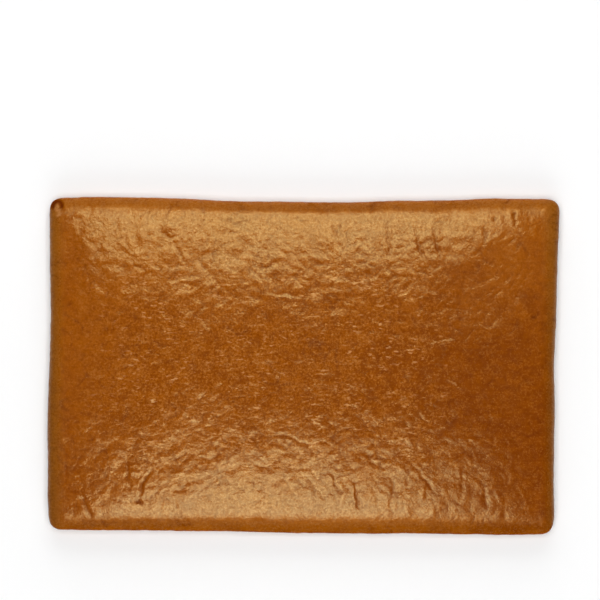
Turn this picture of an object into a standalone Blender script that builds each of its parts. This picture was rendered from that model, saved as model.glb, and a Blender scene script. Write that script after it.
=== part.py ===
"""A gingerbread sheet, baked in a 30 by 20 cm tin: one slab with a glazed, wrinkled crust.

The slab lies face up on the XY plane. X runs along its length, the far side is at +Y, and the
origin is the middle of its underside.

Its skin is meshed flat, as if it were unrolled, with smaller cells where the crust has a crease,
a pit or the burst blister, and is then wrapped round the slab by one formula.
"""

import math

import bmesh
import bpy
import numpy as np

MM = 0.001

# Overall size, over the widest points of the sides.
LENGTH = 303 * MM
WIDTH = 200 * MM

# Heights above the table: the widest point of the side, the top of the rounded rim, and how far
# the crust rises above that. The crown is broad, and the shoulder is flat but for its edges.
BULGE_HEIGHT = 5 * MM
RIM_HEIGHT = 10.2 * MM
CROWN_RISE = 4.4 * MM
CROWN_POWER = 2.4
SHOULDER_RISE = 2 * MM
SHOULDER_POWER = 12

# How far the side draws in below its widest point, down to the flat underside.
FOOT_INSET = 2 * MM

# Width in plan of the rounded rim on each side, how square its section is (2 is a quarter
# ellipse), and how square the outline's corners are: near left and near right, then far left and
# far right.
RIM_LEFT = 10 * MM
RIM_RIGHT = 10 * MM
RIM_NEAR = 14 * MM
RIM_FAR = 10 * MM
RIM_POWER = 2.5
CORNER_POWERS = np.array([[3.4, 3.0], [3.3, 2.8]])

# The sides bow and wander: how far each one stands inside the overall rectangle, in millimetres,
# at evenly spaced places from left to right or from near to far.
FAR_INSETS = (0.9, 0.0, 1.2, 2.7, 3.0, 2.7, 2.0, 1.2, 1.3)
NEAR_INSETS = (2.9, 2.5, 2.1, 1.7, 0.6, 0.4, 0.4, 0.0, 0.3)
LEFT_INSETS = (0.6, 0.1, 0.6, 1.2, 2.0, 1.5, 1.4)
RIGHT_INSETS = (3.4, 3.1, 3.1, 3.2, 2.4, 1.2, 0.0)
BOW_POWER = 3

# Rows of the ripples' hills that the far, near, left and right sides follow.
RIPPLE_ROWS = (0.5, 10.5, 20.5, 30.5)

# Relief of the crust: seed, spacing and height of each layer of hills, and how soft the valleys
# between the lumps are, as a share of their height.
SWELLS = (11, 46 * MM, 0.45 * MM)
LUMPS = (12, 17 * MM, 0.34 * MM)
LUMP_SOFTNESS = 0.2
SIDE_RIPPLES = (13, 25 * MM, 0.30 * MM)
HILL_GAIN = 1.5
TABLE_SIZE = 64

# Creases in the crust: the points each one runs through in plan, then its depth and half width,
# all in millimetres.
CREASES = (
    (((29.8, -70.0), (33.1, -84.0)), 0.8, 1.5),
    (((-91.4, -64.0), (-95.8, -72.0), (-96.3, -80.0)), 0.8, 1.6),
    (((-130.0, -76.0), (-125.0, -90.0)), 0.6, 1.5),
    (((-104.3, -55.0), (-102.2, -72.0)), 0.5, 1.5),
    (((68.0, -61.0), (75.2, -72.0)), 0.5, 1.5),
    (((-84.4, 84.0), (-82.5, 78.0), (-74.6, 76.0)), 0.7, 1.4),
    (((48.6, 83.0), (50.5, 66.0)), 0.6, 1.5),
    (((65.3, 81.0), (68.3, 68.0), (75.2, 59.0)), 0.6, 1.5),
    (((123.0, 92.0), (123.4, 85.0), (129.0, 79.0)), 0.7, 1.4),
)
LIP_SHARE = 0.3
LIP_OFFSET = 2.0

# Pits in the crust: place, radius and depth, in millimetres.
PITS = (
    ((135.4, 28.9), 1.5, 0.5),
    ((-97.2, -80.0), 1.9, 0.5),
)

# The burst blister in the far left corner: a horseshoe trough, open to the near side, round a
# tongue of lifted crust.
BLISTER_PLACE = (-145.2 * MM, 94.5 * MM)
BLISTER_RADIUS = 2.7 * MM
BLISTER_TROUGH = 1.15 * MM
BLISTER_DEPTH = 0.8 * MM
BLISTER_TONGUE = 0.4 * MM
BLISTER_OPENING = math.radians(110)
BLISTER_SHARPNESS = 8

# Mesh: cells over each rounded rim, size of the others, rings down the side, how many half widths
# of a crease and radii of a pit get smaller cells, and how often those are halved.
RIM_CELLS = 6
CELL = 4.9 * MM
SIDE_RINGS = 3
CREASE_REACH = 2
PIT_REACH = 1.5
CREASE_HALVINGS = 1
PIT_HALVINGS = 2
BLISTER_HALVINGS = 3

CRUST_COLOUR = (0.27, 0.082, 0.012, 1.0)
CRUST_ROUGHNESS = 0.38


def clear_scene():
    """Removes every object."""
    for thing in list(bpy.data.objects):
        bpy.data.objects.remove(thing)


def crust_material():
    """The baked, glazed crust."""
    material = bpy.data.materials.new("glazed_crust")
    material.use_nodes = True
    shader = material.node_tree.nodes["Principled BSDF"]
    shader.inputs["Base Color"].default_value = CRUST_COLOUR
    shader.inputs["Roughness"].default_value = CRUST_ROUGHNESS
    shader.inputs["Metallic"].default_value = 0.0
    return material


def smooth_curve(values, share):
    """A Catmull-Rom curve through evenly spaced values, read at shares from 0 to 1."""
    first, last = 2 * values[0] - values[1], 2 * values[-1] - values[-2]
    knots = np.array([first, *values, last])
    place = np.clip(share, 0, 1) * (len(values) - 1)
    knot = np.minimum(place.astype(int), len(values) - 2)
    t = place - knot
    a, b, c, d = (knots[knot + i] for i in range(4))
    return b + 0.5 * t * (c - a + t * (2 * a - 5 * b + 4 * c - d + t * (3 * (b - c) + d - a)))


def gradient_noise(x, y, seed):
    """Smooth random hills, about -1 to 1, one cell wide, repeating after TABLE_SIZE cells."""
    turns = np.random.default_rng(seed).uniform(0, 2 * math.pi, (TABLE_SIZE, TABLE_SIZE))
    column, row = np.floor(x), np.floor(y)
    across, up = x - column, y - row
    ease_x = across**3 * (across * (6 * across - 15) + 10)
    ease_y = up**3 * (up * (6 * up - 15) + 10)

    def corner(i, j):
        turn = turns[(column + i).astype(int) % TABLE_SIZE, (row + j).astype(int) % TABLE_SIZE]
        return np.cos(turn) * (across - i) + np.sin(turn) * (up - j)

    near = corner(0, 0) * (1 - ease_x) + corner(1, 0) * ease_x
    far = corner(0, 1) * (1 - ease_x) + corner(1, 1) * ease_x
    return HILL_GAIN * (near * (1 - ease_y) + far * ease_y)


def line_distance(x, y, points):
    """Distance from each place in plan to a line of straight stretches."""
    nearest = np.full(np.shape(x), np.inf)
    for (ax, ay), (bx, by) in zip(points, points[1:]):
        along_x, along_y = bx - ax, by - ay
        share = ((x - ax) * along_x + (y - ay) * along_y) / (along_x**2 + along_y**2)
        share = np.clip(share, 0, 1)
        nearest = np.minimum(nearest, np.hypot(x - ax - share * along_x, y - ay - share * along_y))
    return nearest


def crease_line(points):
    """A crease's points in metres."""
    return [(px * MM, py * MM) for px, py in points]


def crease_relief(x, y):
    """The creases: a trough with a soft lip pushed up on both sides."""
    height = np.zeros(np.shape(x))
    for points, depth, half_width in CREASES:
        away = line_distance(x, y, crease_line(points)) / (half_width * MM)
        lip = LIP_SHARE * np.exp(-((away - LIP_OFFSET) ** 2))
        height += depth * MM * (lip - np.exp(-(away**2)))
    return height


def pit_relief(x, y):
    """The pits: round hollows with a soft edge."""
    height = np.zeros(np.shape(x))
    for (px, py), radius, depth in PITS:
        away = np.hypot(x - px * MM, y - py * MM) / (radius * MM)
        height -= depth * MM * np.exp(-(away**2))
    return height


def blister_relief(x, y):
    """The burst blister: a trough along three quarters of a circle, and the tongue inside it."""
    dx, dy = x - BLISTER_PLACE[0], y - BLISTER_PLACE[1]
    away = np.hypot(dx, dy)
    from_near = np.abs(np.arctan2(dx, -dy))
    closed = 1 / (1 + np.exp(-BLISTER_SHARPNESS * (from_near - BLISTER_OPENING / 2)))
    trough = np.exp(-(((away - BLISTER_RADIUS) / BLISTER_TROUGH) ** 2))
    tongue = np.exp(-((away / (BLISTER_RADIUS / 2)) ** 2))
    return BLISTER_TONGUE * tongue - BLISTER_DEPTH * closed * trough


def crust_relief(x, y):
    """Height of the crust's relief over the smooth slab, at a place in plan."""
    swell_seed, swell_size, swell_height = SWELLS
    lump_seed, lump_size, lump_height = LUMPS
    swells = swell_height * gradient_noise(x / swell_size, y / swell_size, swell_seed)
    hills = gradient_noise(x / lump_size, y / lump_size, lump_seed)
    lumps = lump_height * (np.sqrt(hills**2 + LUMP_SOFTNESS**2) - LUMP_SOFTNESS)
    return swells + lumps + crease_relief(x, y) + pit_relief(x, y) + blister_relief(x, y)


def rim_arc(width):
    """Length of the skin over a rounded rim, taken as a quarter ellipse: Ramanujan's formula."""
    drop = RIM_HEIGHT - BULGE_HEIGHT
    return math.pi / 4 * (3 * (width + drop) - math.sqrt((3 * width + drop) * (width + 3 * drop)))


def bow(x, y):
    """Moves places in plan inwards, so that the sides bow and ripple as the real ones do."""
    seed, spacing, height = SIDE_RIPPLES
    across, along = x / LENGTH + 0.5, y / WIDTH + 0.5

    def inset(values, share, place, row):
        ripple = height * gradient_noise(place / spacing, np.full(np.shape(place), row), seed)
        return smooth_curve(values, share) * MM + ripple

    far_row, near_row, left_row, right_row = RIPPLE_ROWS
    far = inset(FAR_INSETS, across, x, far_row)
    near = inset(NEAR_INSETS, across, x, near_row)
    left = inset(LEFT_INSETS, along, y, left_row)
    right = inset(RIGHT_INSETS, along, y, right_row)
    out_x, out_y = 2 * x / LENGTH, 2 * y / WIDTH
    moved_x = x - np.sign(x) * np.where(x > 0, right, left) * np.abs(out_x) ** BOW_POWER
    moved_y = y - np.sign(y) * np.where(y > 0, far, near) * np.abs(out_y) ** BOW_POWER
    return moved_x, moved_y


def crown(x, y):
    """Rise of the crust above the rim: full in the middle, none at the sides."""
    along = np.clip(np.abs(2 * x / LENGTH), 0, 1)
    across = np.clip(np.abs(2 * y / WIDTH), 0, 1)
    broad = CROWN_RISE * (1 - along**CROWN_POWER) * (1 - across**CROWN_POWER)
    shoulder = SHOULDER_RISE * (1 - along**SHOULDER_POWER) * (1 - across**SHOULDER_POWER)
    return broad + shoulder


def wrap(u, v, below):
    """Positions of points of the unrolled skin.

    u and v are lengths along and across the skin from its middle. below is 0 on the crust and
    grows to 1 down the side, from the widest point to the underside. Past the flat core, u and v
    turn over the rounded rim: in a corner, the larger of the two excesses gives how far the rim
    has turned, and their ratio gives the direction in plan. The rim's section and the outline's
    corners are superellipses.
    """
    rim_x = np.where(u < 0, RIM_LEFT, RIM_RIGHT)
    rim_y = np.where(v < 0, RIM_NEAR, RIM_FAR)
    arc_x = np.where(u < 0, rim_arc(RIM_LEFT), rim_arc(RIM_RIGHT))
    arc_y = np.where(v < 0, rim_arc(RIM_NEAR), rim_arc(RIM_FAR))
    over_x = np.clip((np.abs(u) - LENGTH / 2 + rim_x) / arc_x, 0, 1)
    over_y = np.clip((np.abs(v) - WIDTH / 2 + rim_y) / arc_y, 0, 1)
    over = np.maximum(over_x, over_y)
    ratio = np.minimum(over_x, over_y) / np.where(over > 0, over, 1)
    heading = math.pi / 4 * np.where(over_x >= over_y, ratio, 2 - ratio)
    power = CORNER_POWERS[(v > 0).astype(int), (u > 0).astype(int)]
    squared = (np.cos(heading) ** power + np.sin(heading) ** power) ** (-1 / power)
    out_x, out_y = np.sign(u) * np.cos(heading), np.sign(v) * np.sin(heading)

    turned = over * math.pi / 2
    tucked = below * math.pi / 2
    rim_out = np.sin(turned) ** (2 / RIM_POWER)
    rim_up = np.cos(turned) ** (2 / RIM_POWER)
    reach = squared * rim_out
    core_x = np.clip(u, -LENGTH / 2 + RIM_LEFT, LENGTH / 2 - RIM_RIGHT)
    core_y = np.clip(v, -WIDTH / 2 + RIM_NEAR, WIDTH / 2 - RIM_FAR)
    x, y = bow(core_x + rim_x * reach * out_x, core_y + rim_y * reach * out_y)

    drop = RIM_HEIGHT - BULGE_HEIGHT
    rim = np.hypot(rim_x * out_x, rim_y * out_y)
    steep = RIM_POWER - 1
    lean = np.arctan2(drop * rim_out**steep, rim * rim_up**steep)
    relief = crust_relief(x, y) * np.cos(tucked)
    sideways = relief * np.sin(lean) - FOOT_INSET * (1 - np.cos(tucked))
    top = BULGE_HEIGHT + (drop + crown(x, y)) * rim_up + relief * np.cos(lean)
    z = np.where(below > 0, BULGE_HEIGHT * (1 - np.sin(tucked)), top)
    return np.stack([x + out_x * sideways, y + out_y * sideways, z], axis=-1)


def fit_to_size(points):
    """Centres the slab over the origin and gives it exactly its overall length and width."""
    for axis, size in enumerate((LENGTH, WIDTH)):
        low, high = points[:, axis].min(), points[:, axis].max()
        points[:, axis] = (points[:, axis] - (low + high) / 2) * size / (high - low)
    return points


def stations(rim_low, rim_high, size):
    """Grid lines across the unrolled skin: closer over both rims, even between them."""
    low, high = rim_low - size / 2, size / 2 - rim_high
    middle = np.linspace(low, high, round((high - low) / CELL) + 1)
    over_low = np.linspace(low - rim_arc(rim_low), low, RIM_CELLS + 1)[:-1]
    over_high = np.linspace(high, high + rim_arc(rim_high), RIM_CELLS + 1)[1:]
    return np.concatenate([over_low, middle, over_high])


def flat_skin():
    """The unrolled crust as a flat grid of cells."""
    columns = stations(RIM_LEFT, RIM_RIGHT, LENGTH)
    rows = stations(RIM_NEAR, RIM_FAR, WIDTH)
    skin = bmesh.new()
    bmesh.ops.create_grid(skin, x_segments=len(columns) - 1, y_segments=len(rows) - 1, size=1)
    for vert in skin.verts:
        column = round((vert.co.x + 1) / 2 * (len(columns) - 1))
        row = round((vert.co.y + 1) / 2 * (len(rows) - 1))
        vert.co = (columns[column], rows[row], 0)
    return skin


def refine(skin, points, reach, halvings):
    """Halves the cells that lie within reach of a line in plan, a number of times."""
    for _ in range(halvings):
        skin.faces.ensure_lookup_table()
        centres = np.array([face.calc_center_median() for face in skin.faces])
        placed = wrap(centres[:, 0], centres[:, 1], np.zeros(len(centres)))
        near = line_distance(placed[:, 0], placed[:, 1], points) < reach
        edges = {edge for index in np.flatnonzero(near) for edge in skin.faces[index].edges}
        edges = sorted(edges, key=lambda edge: edge.index)
        bmesh.ops.subdivide_edges(skin, edges=edges, cuts=1, use_grid_fill=True)
        skin.edges.index_update()


def refine_features(skin):
    """Gives every crease, every pit and the blister the cells that its shape needs."""
    for points, _, half_width in CREASES:
        refine(skin, crease_line(points), CREASE_REACH * half_width * MM, CREASE_HALVINGS)
    for (px, py), radius, _ in PITS:
        spot = (px * MM, py * MM)
        refine(skin, [spot, (spot[0] + MM, spot[1])], PIT_REACH * radius * MM, PIT_HALVINGS)
    x, y = BLISTER_PLACE
    refine(skin, [(x, y), (x + MM, y)], BLISTER_RADIUS + BLISTER_TROUGH, BLISTER_HALVINGS)


def close_below(skin):
    """Adds the rings of the side under the skin's edge, and the flat underside."""
    edges = [edge for edge in skin.edges if edge.is_boundary]
    for _ in range(SIDE_RINGS):
        made = bmesh.ops.extrude_edge_only(skin, edges=edges)["geom"]
        for vert in made:
            if isinstance(vert, bmesh.types.BMVert):
                vert.co.z -= 1 / SIDE_RINGS
        edges = [edge for edge in made if isinstance(edge, bmesh.types.BMEdge)]
    bmesh.ops.contextual_create(skin, geom=edges)


def sheet_mesh():
    """The whole slab as one closed mesh of triangles."""
    skin = flat_skin()
    skin.edges.index_update()
    refine_features(skin)
    close_below(skin)
    flat = np.array([vert.co for vert in skin.verts])
    placed = fit_to_size(wrap(flat[:, 0], flat[:, 1], np.clip(-flat[:, 2], 0, 1)))
    for vert, place in zip(skin.verts, placed):
        vert.co = place
    bmesh.ops.triangulate(skin, faces=skin.faces[:])
    bmesh.ops.recalc_face_normals(skin, faces=skin.faces[:])
    mesh = bpy.data.meshes.new("gingerbread_sheet")
    skin.to_mesh(mesh)
    skin.free()
    return mesh


def build_sheet():
    """Models the gingerbread sheet and shows it."""
    mesh = sheet_mesh()
    mesh.shade_smooth()
    mesh.materials.append(crust_material())
    sheet = bpy.data.objects.new("gingerbread_sheet", mesh)
    bpy.context.scene.collection.objects.link(sheet)
    return sheet


clear_scene()
build_sheet()
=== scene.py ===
"""A glazed gingerbread sheet on a pale floor, seen from straight above.

The sheet is one closed surface. Its upper skin is worked out as if it were unrolled flat, with
u along it and v across it, and is then wrapped over the rounded rim, down the side and under the
slab. The crust's relief is a sum of swells, rounded lumps, creases, pits and one burst blister.
Places in plan are complex numbers, with x along the sheet as the real part and y across it as
the imaginary part.
"""

import logging
import math
from dataclasses import dataclass
from enum import Enum
from functools import cache

import bpy
import numpy as np
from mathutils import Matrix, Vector


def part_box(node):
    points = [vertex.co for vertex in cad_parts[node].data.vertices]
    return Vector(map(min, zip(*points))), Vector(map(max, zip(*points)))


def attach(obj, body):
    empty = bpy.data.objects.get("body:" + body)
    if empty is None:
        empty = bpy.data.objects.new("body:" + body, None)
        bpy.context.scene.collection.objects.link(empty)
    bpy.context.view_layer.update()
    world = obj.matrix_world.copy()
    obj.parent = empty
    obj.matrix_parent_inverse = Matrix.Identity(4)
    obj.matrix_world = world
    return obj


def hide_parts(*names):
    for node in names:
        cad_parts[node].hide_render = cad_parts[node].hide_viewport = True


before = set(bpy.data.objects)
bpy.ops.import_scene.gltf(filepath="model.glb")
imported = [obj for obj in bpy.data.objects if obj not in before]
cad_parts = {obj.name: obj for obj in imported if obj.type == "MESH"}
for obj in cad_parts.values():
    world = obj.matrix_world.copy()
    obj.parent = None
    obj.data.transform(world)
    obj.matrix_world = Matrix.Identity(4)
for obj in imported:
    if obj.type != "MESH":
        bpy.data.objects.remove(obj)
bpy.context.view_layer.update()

Array = np.ndarray
Pair = tuple[float, float]
Triple = tuple[float, float, float]
Colour = Triple

MM = 0.001
HILL_GAIN = 1.5
WHITE: Colour = (1.0, 1.0, 1.0)
NODE = "gingerbread_sheet"
SLOT = "glazed_crust"

log = logging.getLogger("gingerbread")


# ---- Random hills and lines in plan


@dataclass(frozen=True)
class Hills:
    """Smooth random hills: seed, distance between hills and height, in metres."""

    seed: int
    spacing: float
    height: float = 1.0
    table: int = 64

    def at(self, plan: Array) -> Array:
        """Heights at places in plan.

        Each corner of a square cell has a random slope. A place takes the four slopes' heights,
        blended with the quintic ease 6t^5 - 15t^4 + 10t^3.

        Args:
            plan: Places in plan.

        Returns:
            Heights from about -1 to 1 times the layer's height.
        """
        turns = np.random.default_rng(self.seed).uniform(0, 2 * math.pi, (self.table, self.table))
        x, y = plan.real / self.spacing, plan.imag / self.spacing
        column, row = np.floor(x), np.floor(y)
        across, up = x - column, y - row
        ease_x = across**3 * (across * (6 * across - 15) + 10)
        ease_y = up**3 * (up * (6 * up - 15) + 10)

        def corner(i: int, j: int) -> Array:
            """Height that one corner's slope gives."""
            turn = turns[(column + i).astype(int) % self.table, (row + j).astype(int) % self.table]
            return np.cos(turn) * (across - i) + np.sin(turn) * (up - j)

        near = corner(0, 0) * (1 - ease_x) + corner(1, 0) * ease_x
        far = corner(0, 1) * (1 - ease_x) + corner(1, 1) * ease_x
        return HILL_GAIN * self.height * (near * (1 - ease_y) + far * ease_y)


@dataclass(frozen=True)
class Grain:
    """The direction that wrinkles run in: out from the middle, and lengthways near it."""

    half_length: float
    half_width: float
    middle_bias: float = 0.3

    def heading(self, plan: Array) -> Array:
        """Unit directions: the root of the share of the way out, squared, plus a bias."""
        share = plan.real / self.half_length + 1j * plan.imag / self.half_width
        return np.exp(0.5j * np.angle(share**2 + self.middle_bias))

    def pulled(self, hills: Hills, plan: Array, reach: float, taps: int = 3) -> Array:
        """Hills drawn out along the wrinkles: taps over the reach both ways, summed and evened."""
        heading, steps = self.heading(plan), np.linspace(-reach, reach, taps)
        return sum(hills.at(plan + step * heading) for step in steps) / math.sqrt(taps)


@dataclass(frozen=True)
class Push:
    """Pushes places about in plan: how far, and the hills that push along and across."""

    reach: float
    along: Hills
    across: Hills

    def moved(self, plan: Array) -> Array:
        """The pushed places."""
        return plan + self.reach * (self.along.at(plan) + 1j * self.across.at(plan))


def line_distance(plan: Array, points: list[complex]) -> tuple[Array, Array]:
    """Distance from places in plan to a line of straight stretches.

    Args:
        plan: Places in plan.
        points: The line's points.

    Returns:
        Distance to the nearest stretch, and how far along the line that is, from 0 to 1.
    """
    nearest, along = np.full(plan.shape, np.inf), np.zeros(plan.shape)
    for number, (start, end) in enumerate(zip(points, points[1:])):
        share = np.clip(((plan - start) / (end - start)).real, 0, 1)
        away = np.abs(plan - start - share * (end - start))
        along = np.where(away < nearest, (number + share) / (len(points) - 1), along)
        nearest = np.minimum(nearest, away)
    return nearest, along


def smooth_step(low: float, high: float, value: Array) -> Array:
    """0 up to low, 1 from high, and 3t^2 - 2t^3 between them."""
    share = np.clip((value - low) / (high - low), 0, 1)
    return share * share * (3 - 2 * share)


def smooth_curve(values: tuple[float, ...], share: Array) -> Array:
    """A Catmull-Rom curve through evenly spaced values.

    Args:
        values: The values.
        share: Where the curve is read, from 0 to 1.

    Returns:
        What it reads there.
    """
    first, last = 2 * values[0] - values[1], 2 * values[-1] - values[-2]
    knots = np.array([first, *values, last])
    place = np.clip(share, 0, 1) * (len(values) - 1)
    knot = np.minimum(place.astype(int), len(values) - 2)
    t = place - knot
    a, b, c, d = (knots[knot + i] for i in range(4))
    return b + 0.5 * t * (c - a + t * (2 * a - 5 * b + 4 * c - d + t * (3 * (b - c) + d - a)))


# ---- Relief of the crust


@dataclass(frozen=True)
class Crease:
    """A crease in the crust, or a ridge if its depth is below 0: points, depth, half width, mm."""

    points: tuple[complex, ...]
    depth: float
    half_width: float
    lip_share: float = 0.2
    lip_offset: float = 1.9
    end_power: float = 0.7
    darkening: float = 2.0

    def profile(self, plan: Array) -> tuple[Array, Array]:
        """The crease's section, tapered to its ends.

        Args:
            plan: Places in plan.

        Returns:
            Distance from the crease in half widths, and its strength from 0 to 1, which is the
            sine of the share of the way along, raised to the end power.
        """
        away, along = line_distance(plan, [point * MM for point in self.points])
        return away / (self.half_width * MM), np.sin(math.pi * along) ** self.end_power

    def relief(self, plan: Array) -> Array:
        """A Gaussian trough, with a soft lip pushed up on both sides."""
        away, strength = self.profile(plan)
        lip = self.lip_share * np.exp(-((away - self.lip_offset) ** 2))
        return self.depth * MM * strength * (lip - np.exp(-(away**2)))

    def shade(self, plan: Array) -> Array:
        """How much dark colour and painted shade the crease puts on the crust, from 0 to 1."""
        away, strength = self.profile(plan)
        return np.clip(self.darkening * self.depth, 0, 1) * strength * np.exp(-(away**2))


@dataclass(frozen=True)
class Pit:
    """A round hollow, or a bump if its depth is below 0: place in plan, radius and depth, in mm."""

    place: complex
    radius: float
    depth: float
    darkening: float = 2.5

    def relief(self, plan: Array) -> Array:
        """A Gaussian hollow or bump."""
        return -self.depth * MM * self.bowl(plan)

    def bowl(self, plan: Array) -> Array:
        """1 at the pit's middle, falling off as a Gaussian."""
        return np.exp(-((np.abs(plan - self.place * MM) / (self.radius * MM)) ** 2))

    def shade(self, plan: Array) -> Array:
        """How much dark colour and painted shade the pit puts on the crust, from 0 to 1."""
        return np.clip(self.darkening * self.depth, 0, 1) * self.bowl(plan)


@dataclass(frozen=True)
class Blister:
    """A burst blister: a horseshoe trough, open to the near side, round a lifted tongue."""

    place: complex = (-145.2 + 94.5j) * MM
    radius: float = 2.7 * MM
    trough: float = 1.15 * MM
    depth: float = 0.6 * MM
    tongue: float = 0.35 * MM
    opening: float = math.radians(110)
    edge_sharpness: float = 8.0
    darkening: float = 1.4

    def hollow(self, plan: Array) -> Array:
        """1 in the trough and 0 away from it.

        The trough is a Gaussian across a circle. A logistic step in the angle from the near
        side ends it on both sides of the opening.

        Args:
            plan: Places in plan.

        Returns:
            How deep in the trough each place is, from 0 to 1.
        """
        out = plan - self.place
        from_near = np.abs(np.angle(1j * out))
        closed = 1 / (1 + np.exp(-self.edge_sharpness * (from_near - self.opening / 2)))
        return closed * np.exp(-(((np.abs(out) - self.radius) / self.trough) ** 2))

    def relief(self, plan: Array) -> Array:
        """The trough, and a Gaussian tongue inside it."""
        tongue = np.exp(-((np.abs(plan - self.place) / (self.radius / 2)) ** 2))
        return self.tongue * tongue - self.depth * self.hollow(plan)

    def shade(self, plan: Array) -> Array:
        """How much dark colour and painted shade the blister's trough puts on the crust, from 0 to
        1.
        """
        return np.minimum(self.darkening * self.hollow(plan), 1)


# Creases that wander a little off their lines.
CREASES = (
    Crease((29.8 - 69j, 30.8 - 77j, 33.1 - 85j), 0.52, 0.65),
    Crease((-89.5 - 61j, -94.8 - 69.5j, -96.6 - 78j), 0.45, 1),
    Crease((-131 - 74j, -128 - 83j, -124.5 - 91j), 0.35, 1),
    Crease((-84.4 + 85j, -83.4 + 78.5j, -79 + 75.5j, -72.6 + 76.5j), 0.24, 0.9),
    Crease((-103.2 + 64.2j, -96.3 + 56.2j), 0.22, 0.8),
    Crease((48.6 + 85j, 50.5 + 64j), 0.3, 0.9),
    Crease((65.3 + 82.5j, 68.3 + 68.1j, 75.8 + 57.5j), 0.35, 0.8),
    Crease((76.3 + 80.5j, 80.2 + 62.5j), 0.3, 0.8),
    Crease((-76 + 73j, -69 + 59j), 0.25, 0.9),
    Crease((-51.1 - 45j, -51.1 - 53.5j), 0.25, 0.7),
    Crease((-19 - 39.5j, -8 - 41.8j, 3 - 46.8j), 0.28, 0.8),
    Crease((16.5 - 61.5j, 21.3 - 76.5j), 0.22, 0.7),
    Crease((36 - 49j, 42 - 59.5j), 0.35, 0.9),
    Crease((67.4 - 60j, 75.9 - 73.5j), 0.22, 0.9),
    Crease((93 - 59.5j, 94.1 - 76.5j), 0.18, 0.9),
    Crease((52.5 - 64.5j, 51.5 - 83j), 0.18, 0.9),
    Crease((105.7 - 71j, 108.1 - 85j), 0.25, 1.2),
    Crease((-28.5 - 57.5j, -19.5 - 61j), 0.22, 0.7),
    Crease((-63 - 53.6j, -52.5 - 54.9j), 0.22, 0.7),
    Crease((-104.6 - 53j, -101.9 - 74j), 0.35, 1),
    Crease((-77 - 73j, -67 - 72.6j), 0.2, 0.7),
    Crease((17.8 + 84.5j, 19 + 74.5j), 0.2, 0.8),
    Crease((123.8 + 92j, 123.4 + 86.5j, 129.5 + 77.5j), 0.32, 0.7),
)
# Cracks and slits that keep to their lines.
MARKS = (
    Crease((133.2 + 28.9j, 137.6 + 28.6j), 0.22, 0.95, darkening=4.5),
    Crease((137.6 + 31j, 138.6 + 30.4j), 0.1, 0.7, darkening=4.0),
    Crease(
        (-99.6 - 79.9j, -98.3 - 79j, -97.7 - 80.3j, -96.9 - 79j, -95.4 - 80.7j, -94.4 - 82.3j),
        0.28, 0.75, darkening=3.6,
    ),
)
# Torn edges of the burst blister, raised, with a painted highlight on them.
FLAPS = (
    Crease(
        (-144.8 + 96.4j, -146.1 + 93.2j, -145.4 + 91.7j, -143.9 + 91.3j, -142.2 + 92.5j),
        -0.12, 0.75,
    ),
    Crease((-146 + 88.4j, -142.6 + 90j), -0.14, 0.8),
)
RIDGES = (
    Crease((-109.5 + 73.6j, -96 + 62.8j), -0.16, 1),
    Crease((-24.5 + 41.8j, -1 + 39j), -0.25, 1),
    Crease((53.5 + 39.5j, 64.5 + 44.5j), -0.24, 0.9),
    Crease((66 + 37j, 72 + 41.8j), -0.22, 0.8),
    Crease((73 + 12.5j, 90 + 15.5j), -0.24, 0.9),
    Crease((81.5 - 5.2j, 94 - 14j), -0.22, 0.9),
    Crease((3 - 29.5j, 13 - 34.8j), -0.24, 0.9),
)
PITS = (
    Pit(124.2 + 89.7j, 1.3, 0.25),
    Pit(112.4 + 86.7j, 1.3, 0.2),
    Pit(-139.4 + 10.6j, 1, 0.06),
    Pit(-78.5 + 81.9j, 3.2, -0.35),
)
# Broad, low hollows and rises that break up the light on the crown.
RISES = (
    Pit(-50 - 16j, 30, -0.55),
    Pit(38 - 17j, 31, 0.8),
    Pit(-99 - 20j, 24, 0.6),
    Pit(-80 + 38j, 28, -0.42),
    Pit(98 + 42j, 22, 0.4),
)


@dataclass(frozen=True)
class ToneAndLightPatch:
    """A broad darker patch, or paler if below 0: place, half sizes in mm, strength.
    Some are painted shade and some painted light.
    """

    place: complex
    half_sizes: Pair
    strength: float

    def at(self, plan: Array) -> Array:
        """The strength, falling off as a Gaussian."""
        out, (half_x, half_y) = plan / MM - self.place, self.half_sizes
        return self.strength * np.exp(-((out.real / half_x) ** 2) - (out.imag / half_y) ** 2)


# Broad patches of tone. Some are painted shade and painted light, as marked.
TONE_AND_LIGHT_PATCHES = (
    ToneAndLightPatch(104 - 12j, (46, 60), 0.36),
    ToneAndLightPatch(134 + 72j, (28, 30), -0.35),
    ToneAndLightPatch(-144 - 76j, (26, 26), 0.22),
    # Painted shade along the left and right edges, where the side turns away from the light.
    ToneAndLightPatch(-153 + 0j, (5, 200), 0.75),
    ToneAndLightPatch(153 + 0j, (4, 200), 0.15),
    ToneAndLightPatch(125 - 75j, (50, 40), 0.1),
    # Painted light along the near rim, below the near highlight.
    ToneAndLightPatch(20 - 91.5j, (78, 4), -0.5),
    # Painted highlight: a paler patch that brightens the far highlight on the left.
    ToneAndLightPatch(-88 + 72j, (26, 34), -0.22),
)


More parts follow.
